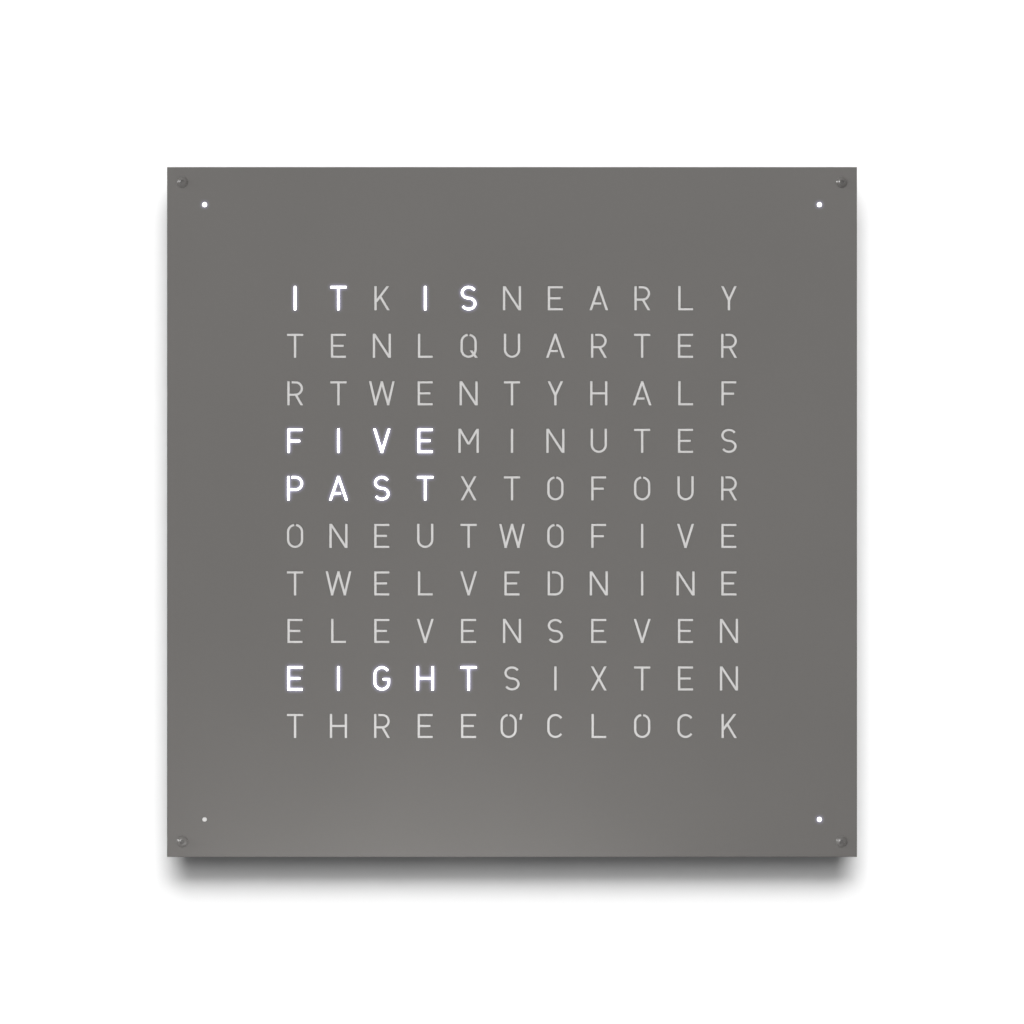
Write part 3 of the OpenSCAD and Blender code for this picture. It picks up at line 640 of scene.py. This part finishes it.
# --------------------------------------------------------- Geometry Nodes
class Pattern:
    """A Geometry Nodes tree with named inputs, run once to a plain mesh."""

    def __init__(self, name, **inputs):
        self.name = name
        self.values = inputs
        self.tree = bpy.data.node_groups.new(name, "GeometryNodeTree")
        self.tree.interface.new_socket("Geometry", in_out="OUTPUT",
                                       socket_type="NodeSocketGeometry")
        kinds = {int: "NodeSocketInt", float: "NodeSocketFloat"}
        self.keys = {}
        for key, value in inputs.items():
            kind = kinds.get(type(value), "NodeSocketMaterial")
            made = self.tree.interface.new_socket(key, in_out="INPUT", socket_type=kind)
            self.keys[key] = made.identifier
        self.start = self.tree.nodes.new("NodeGroupInput")
        self.end = self.tree.nodes.new("NodeGroupOutput")

    def input(self, key):
        return self.start.outputs[key]

    def node(self, kind, inputs=None, **settings):
        made = self.tree.nodes.new(kind)
        for key, value in settings.items():
            setattr(made, key, value)
        for key, value in (inputs or {}).items():
            if isinstance(value, bpy.types.NodeSocket):
                self.tree.links.new(value, made.inputs[key])
            else:
                made.inputs[key].default_value = value
        return made

    def math(self, operation, first, second=0.0):
        made = self.node("ShaderNodeMath", {0: first, 1: second}, operation=operation)
        return made.outputs[0]

    def vector(self, x, y, z):
        return self.node("ShaderNodeCombineXYZ", {0: x, 1: y, 2: z}).outputs[0]

    def place(self):
        """Each point's x, y and z."""
        where = self.node("GeometryNodeInputPosition").outputs[0]
        return self.node("ShaderNodeSeparateXYZ", {0: where}).outputs

    def crowned(self, geometry, height, sphere):
        """The points above zero follow a sphere of that radius whose top is at height."""
        x, y, z = self.place()
        off = self.math("ADD", self.math("MULTIPLY", x, x), self.math("MULTIPLY", y, y))
        inner = self.math("SUBTRACT", self.math("MULTIPLY", sphere, sphere), off)
        sag = self.math("SUBTRACT", self.math("SQRT", inner), sphere)
        made = self.node("GeometryNodeSetPosition", {
            "Geometry": geometry,
            "Selection": self.math("GREATER_THAN", z, 1e-6),
            "Position": self.vector(x, y, self.math("ADD", height, sag)),
        })
        return made.outputs[0]

    def spread(self, part, turn=None):
        """One part at each point of a grid that stands upright and faces forward."""
        points = self.node("GeometryNodeMeshGrid", {
            "Size X": self.input("Width"), "Size Y": self.input("Height"),
            "Vertices X": self.input("Columns"), "Vertices Y": self.input("Rows"),
        }).outputs[0]
        inputs = {"Points": points, "Instance": part}
        if turn is not None:
            inputs["Rotation"] = turn
        stood = self.node("GeometryNodeInstanceOnPoints", inputs).outputs[0]
        upright = self.node("GeometryNodeTransform", {
            "Geometry": stood,
            "Translation": self.vector(0.0, self.input("Seat"), 0.0),
            "Rotation": (math.pi / 2, 0.0, 0.0),
        }).outputs[0]
        real = self.node("GeometryNodeRealizeInstances", {0: upright}).outputs[0]
        made = self.node("GeometryNodeSetMaterial",
                         {"Geometry": real, "Material": self.input("Material")})
        self.tree.links.new(made.outputs[0], self.end.inputs[0])

    def run(self):
        """The tree's result as a piece with a plain mesh."""
        base = placed(self.name, bpy.data.meshes.new(self.name + "_base"))
        modifier = base.modifiers.new(self.name, "NODES")
        modifier.node_group = self.tree
        for key, value in self.values.items():
            modifier[self.keys[key]] = value
        bpy.context.view_layer.update()
        shown = base.evaluated_get(bpy.context.evaluated_depsgraph_get())
        mesh = bpy.data.meshes.new_from_object(shown)
        base.modifiers.remove(modifier)
        base.data = mesh
        mesh.polygons.foreach_set("use_smooth", [True] * len(mesh.polygons))
        mesh.set_sharp_from_angle(angle=ROUND_SHARP)
        return base


def corner_screws():
    """Domed button-head screws with a hexagon socket, one at each corner of the cover."""
    p = Pattern("corner_screws", Columns=2, Rows=2, Width=2 * SCREW_HALF * MM,
                Height=2 * SCREW_HALF * MM, Seat=COVER_FRONT * MM, Radius=3.8 * MM,
                Rise=2.2 * MM, Dome=4.83 * MM, Socket=1.25 * MM, Reach=1.3 * MM,
                Shank=2.0 * MM, Length=10.0 * MM, Seed=4,
                Material=finishes["screw_coat"])
    block = p.node("GeometryNodeMeshCylinder", {
        "Vertices": 48, "Fill Segments": 12, "Radius": p.input("Radius"),
        "Depth": p.math("MULTIPLY", p.input("Rise"), 2.0)})
    moved = p.node("GeometryNodeSetPosition", {
        "Geometry": p.crowned(block.outputs["Mesh"], p.input("Rise"), p.input("Dome")),
        "Selection": p.math("LESS_THAN", p.place()[2], 0.0),
        "Offset": p.vector(0.0, 0.0, p.input("Rise"))})
    mouth = p.math("DIVIDE", p.input("Socket"), math.cos(math.pi / 6))
    key = p.node("GeometryNodeMeshCylinder", {
        "Vertices": 6, "Radius": mouth, "Depth": p.math("MULTIPLY", p.input("Reach"), 2.0)})
    lifted = p.node("GeometryNodeTransform", {
        "Geometry": key.outputs["Mesh"], "Translation": p.vector(0.0, 0.0, p.input("Rise"))})
    head = p.node("GeometryNodeMeshBoolean", {"Mesh 1": moved.outputs[0]},
                  operation="DIFFERENCE")
    p.tree.links.new(lifted.outputs[0], head.inputs["Mesh 2"])
    shank = p.node("GeometryNodeMeshCylinder", {
        "Vertices": 24, "Radius": p.input("Shank"), "Depth": p.input("Length")})
    sunk = p.node("GeometryNodeTransform", {
        "Geometry": shank.outputs["Mesh"],
        "Translation": p.vector(0.0, 0.0, p.math("MULTIPLY", p.input("Length"), -0.5))})
    screw = p.node("GeometryNodeJoinGeometry")
    p.tree.links.new(sunk.outputs[0], screw.inputs[0])
    p.tree.links.new(head.outputs[0], screw.inputs[0])
    chance = p.node("FunctionNodeRandomValue", {"Seed": p.input("Seed")}, data_type="FLOAT")
    most = 3        # the socket that takes the random angle's upper limit
    chance.inputs[most].default_value = math.pi / 3
    p.spread(screw.outputs[0], p.vector(0.0, 0.0, chance.outputs[1]))
    return p.run()


def led_lenses(name, columns, rows, width, height, radius):
    """Low domes of silicone that fill the wells of a grid of LEDs."""
    p = Pattern(name, Columns=columns, Rows=rows, Width=width * MM, Height=height * MM,
                Seat=(LED_TOP + LED_WELL_DEPTH) * MM, Radius=radius * MM,
                Rise=(LED_WELL_DEPTH + LENS_STANDS_PROUD) * MM, Dome=LENS_DOME * MM,
                Material=phosphor(name))
    block = p.node("GeometryNodeMeshCylinder", {
        "Vertices": 14, "Fill Segments": 2, "Radius": p.input("Radius"),
        "Depth": p.math("MULTIPLY", p.input("Rise"), 0.2)})
    p.spread(p.crowned(block.outputs["Mesh"], p.input("Rise"), p.input("Dome")))
    return p.run()


# ------------------------------------------------------------- the pieces
def dress_frame():
    """Gives each CAD node the finish of its slot in the record."""
    for row in frame["record"]["subparts"]:
        node = frame["nodes"][row["node"]]
        finish = finishes[row["material_slot"]]
        if not node.material_slots:
            node.data.materials.append(finish)
        for place in node.material_slots:
            place.material = finish


def dress(piece, slot, finish=None):
    """A new piece on the case, in the finish of its slot or in its own version of it."""
    piece.data.materials.clear()
    piece.data.materials.append(finishes[finish or slot])
    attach(piece, "case")
    return piece


def make_pieces():
    """The dressed cover, its inlays and screws, and the LEDs' lenses."""
    cover_face, letters = cut_dial()

    def edge_at(x, z):
        near = 0.01
        return OUTER_EDGE if max(abs(x), abs(z)) > COVER_HALF - near else LETTER_EDGE

    cover = solid_sheet("lettered_cover", cover_face, COVER_FRONT, COVER_BACK, edge_at)
    dress(cover, "cover_coat")
    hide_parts("front_cover")

    inlay_front = COVER_FRONT + INLAY_RECESS
    inlays = solid_sheet("letter_inlays", letters, inlay_front, COVER_BACK,
                         lambda x, z: INLAY_EDGE)
    dress(inlays, "opal_sheet")

    screws = dress(corner_screws(), "cover_coat", "screw_coat")
    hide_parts("cover_screws")

    width, height, letter_r = (COLUMNS - 1) * COLUMN_PITCH, (ROWS - 1) * ROW_PITCH, 1.95
    span, dot_r = 2 * DOT_HALF, 1.35
    for lenses in (led_lenses("letter_led_lenses", COLUMNS, ROWS, width, height, letter_r),
                   led_lenses("dot_led_lenses", 2, 2, span, span, dot_r)):
        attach(lenses, "case")
    return cover, inlays, screws


# ---------------------------------------------- stage, lights and camera
def plane(name, corners, material):
    """A flat sheet of the stage, which gives the clock no shade, bounce or reflection."""
    mesh = bpy.data.meshes.new(name)
    mesh.from_pydata(corners, [], [[0, 1, 2, 3]])
    mesh.materials.append(material)
    piece = placed(name, mesh)
    piece.visible_shadow = False
    piece.visible_diffuse = False
    piece.visible_glossy = False
    return piece


def make_stage():
    """The pale wall that the clock hangs on, and a pale floor."""
    wall_y = 0.0005
    floor_z = -1.1
    wide = 6.0
    plane("wall", [(-wide, wall_y, floor_z), (wide, wall_y, floor_z), (wide, wall_y, wide),
                   (-wide, wall_y, wide)],
          plain_stage("wall_paint", (0.93, 0.93, 0.93), 0.8, 300))
    plane("floor", [(-wide, -wide, floor_z), (wide, -wide, floor_z), (wide, wide, floor_z),
                    (-wide, wide, floor_z)],
          plain_stage("floor_paint", (0.9, 0.9, 0.89), 0.7, 200))


def aimed(name, kind, place, target, energy, **settings):
    """A light at a place that looks at a target."""
    lamp = bpy.data.lights.new(name, kind)
    lamp.energy = energy
    for key, value in settings.items():
        setattr(lamp, key, value)
    made = bpy.data.objects.new(name, lamp)
    made.location = place
    way = Vector(target) - Vector(place)
    made.rotation_euler = way.to_track_quat("-Z", "Y").to_euler()
    made.visible_camera = False
    bpy.context.scene.collection.objects.link(made)
    return made


def sun(name, side, height, energy, spread):
    """A far lamp, by degrees to the side and up, its disc so many degrees wide."""
    return aimed(name, "SUN", sky_place(side, height), (0, 0, 0), energy,
                 angle=math.radians(spread))


def flagged(light, pieces, state="INCLUDE", links="receiver_collection"):
    """Keeps a light, or what blocks it, to some pieces or off them, as studio flags do."""
    kept = bpy.data.collections.new(f"{light.name}_{links}")
    for piece in pieces:
        kept.objects.link(piece)
    for row in kept.collection_objects:
        row.light_linking.link_state = state
    setattr(light.light_linking, links, kept)


def sky_place(side, height):
    """A place one metre off in front, by degrees to the side and up."""
    side, height = math.radians(side), math.radians(height)
    return (math.sin(side) * math.cos(height), -math.cos(side) * math.cos(height),
            math.sin(height))


def make_lights(cover, inlays, screws):
    """Soft keys from above, lamps for the screws and two fills, and the studio's own light."""
    # Each sun has degrees to the side, degrees up, strength and spread
    keys = [("middle_key", 0.0, 40.7, 1.68, 62.0), ("left_key", -15.3, 48.0, 1.53, 26.8),
            ("right_key", 15.3, 48.0, 1.53, 26.8)]
    for row in keys:
        key = sun(*row)
        flagged(key, [screws], "EXCLUDE")
        flagged(key, [screws], "EXCLUDE", "blocker_collection")
    flagged(sun("side_key", -79.0, 12.0, 1.0, 6.0), [cover, screws])
    screw_lamps = [(("screw_fill", 0.0, 0.0, 2.8, 80.0), "visible_glossy"),
                   (("screw_upper", -35.0, 50.0, 1.2, 60.0), "visible_glossy"),
                   (("screw_glint", -35.0, 17.0, 2.3, 6.0), "visible_diffuse")]
    for row, unseen in screw_lamps:
        lamp = sun(*row)
        setattr(lamp, unseen, False)
        flagged(lamp, [screws])

    low = aimed("low_glow", "AREA", (-0.06, -0.11, -0.285), (-0.06, -0.02, -0.2), 0.14,
                shape="RECTANGLE", size=0.3, size_y=0.04)
    flagged(low, [cover, inlays, screws])
    aimed("back_light", "AREA", (0.8, 2.2, 1.2), (0, 0, 0), 60.0, size=1.6)
    under = aimed("under_fill", "AREA", (0.3, -0.5, -1.0), (0, 0, -0.2), 14.0, size=0.8)
    flagged(under, [node for name, node in frame["nodes"].items()
                    if name.startswith(("housing", "dc_jack")) or name.endswith("button")])

    # The world is white to the camera, and dim as a light
    world = bpy.data.worlds.new("studio")
    world.use_nodes = True
    nodes, links = world.node_tree.nodes, world.node_tree.links
    sky = nodes["Background"]
    sky.inputs["Color"].default_value = (1.0, 1.0, 1.0, 1.0)
    strength = nodes.new("ShaderNodeMapRange")
    strength.inputs["To Min"].default_value = 0.15
    strength.inputs["To Max"].default_value = 1.0
    seen = nodes.new("ShaderNodeLightPath")
    links.new(seen.outputs["Is Camera Ray"], strength.inputs["Value"])
    links.new(strength.outputs["Result"], sky.inputs["Strength"])
    bpy.context.scene.world = world


def make_camera():
    """Straight on, so far back that the cover fills its width in the photograph."""
    lens_mm = 120.0
    sensor_mm = 36.0
    view_width = 2 * COVER_HALF * MM * FRAME_PX / COVER_PX
    camera = bpy.data.cameras.new("camera")
    camera.lens = lens_mm
    camera.sensor_width = sensor_mm
    camera.clip_end = 50.0
    made = bpy.data.objects.new("camera", camera)
    away = view_width * lens_mm / sensor_mm
    made.location = (0.0, COVER_FRONT * MM - away, 0.0)
    made.rotation_euler = (math.pi / 2, 0.0, 0.0)
    bpy.context.scene.collection.objects.link(made)
    bpy.context.scene.camera = made


def make_halo():
    """The soft violet rim that a lens gives to lit letters."""
    scene = bpy.context.scene
    scene.use_nodes = True
    tree = scene.node_tree
    tree.nodes.clear()
    seen = tree.nodes.new("CompositorNodeRLayers")
    glare = tree.nodes.new("CompositorNodeGlare")
    glare.glare_type = "BLOOM"
    glare.quality = "HIGH"
    settings = {"Threshold": 1.25, "Smoothness": 0.1, "Strength": 0.95, "Size": 0.006,
                "Tint": (0.62, 0.62, 1.0, 1.0)}
    for key, value in settings.items():
        glare.inputs[key].default_value = value
    shown = tree.nodes.new("CompositorNodeComposite")
    tree.links.new(seen.outputs["Image"], glare.inputs["Image"])
    tree.links.new(glare.outputs["Image"], shown.inputs["Image"])


make_camera()
dress_frame()
new_pieces = make_pieces()
make_stage()
make_lights(*new_pieces)
make_halo()
bpy.context.scene.view_settings.view_transform = "Standard"
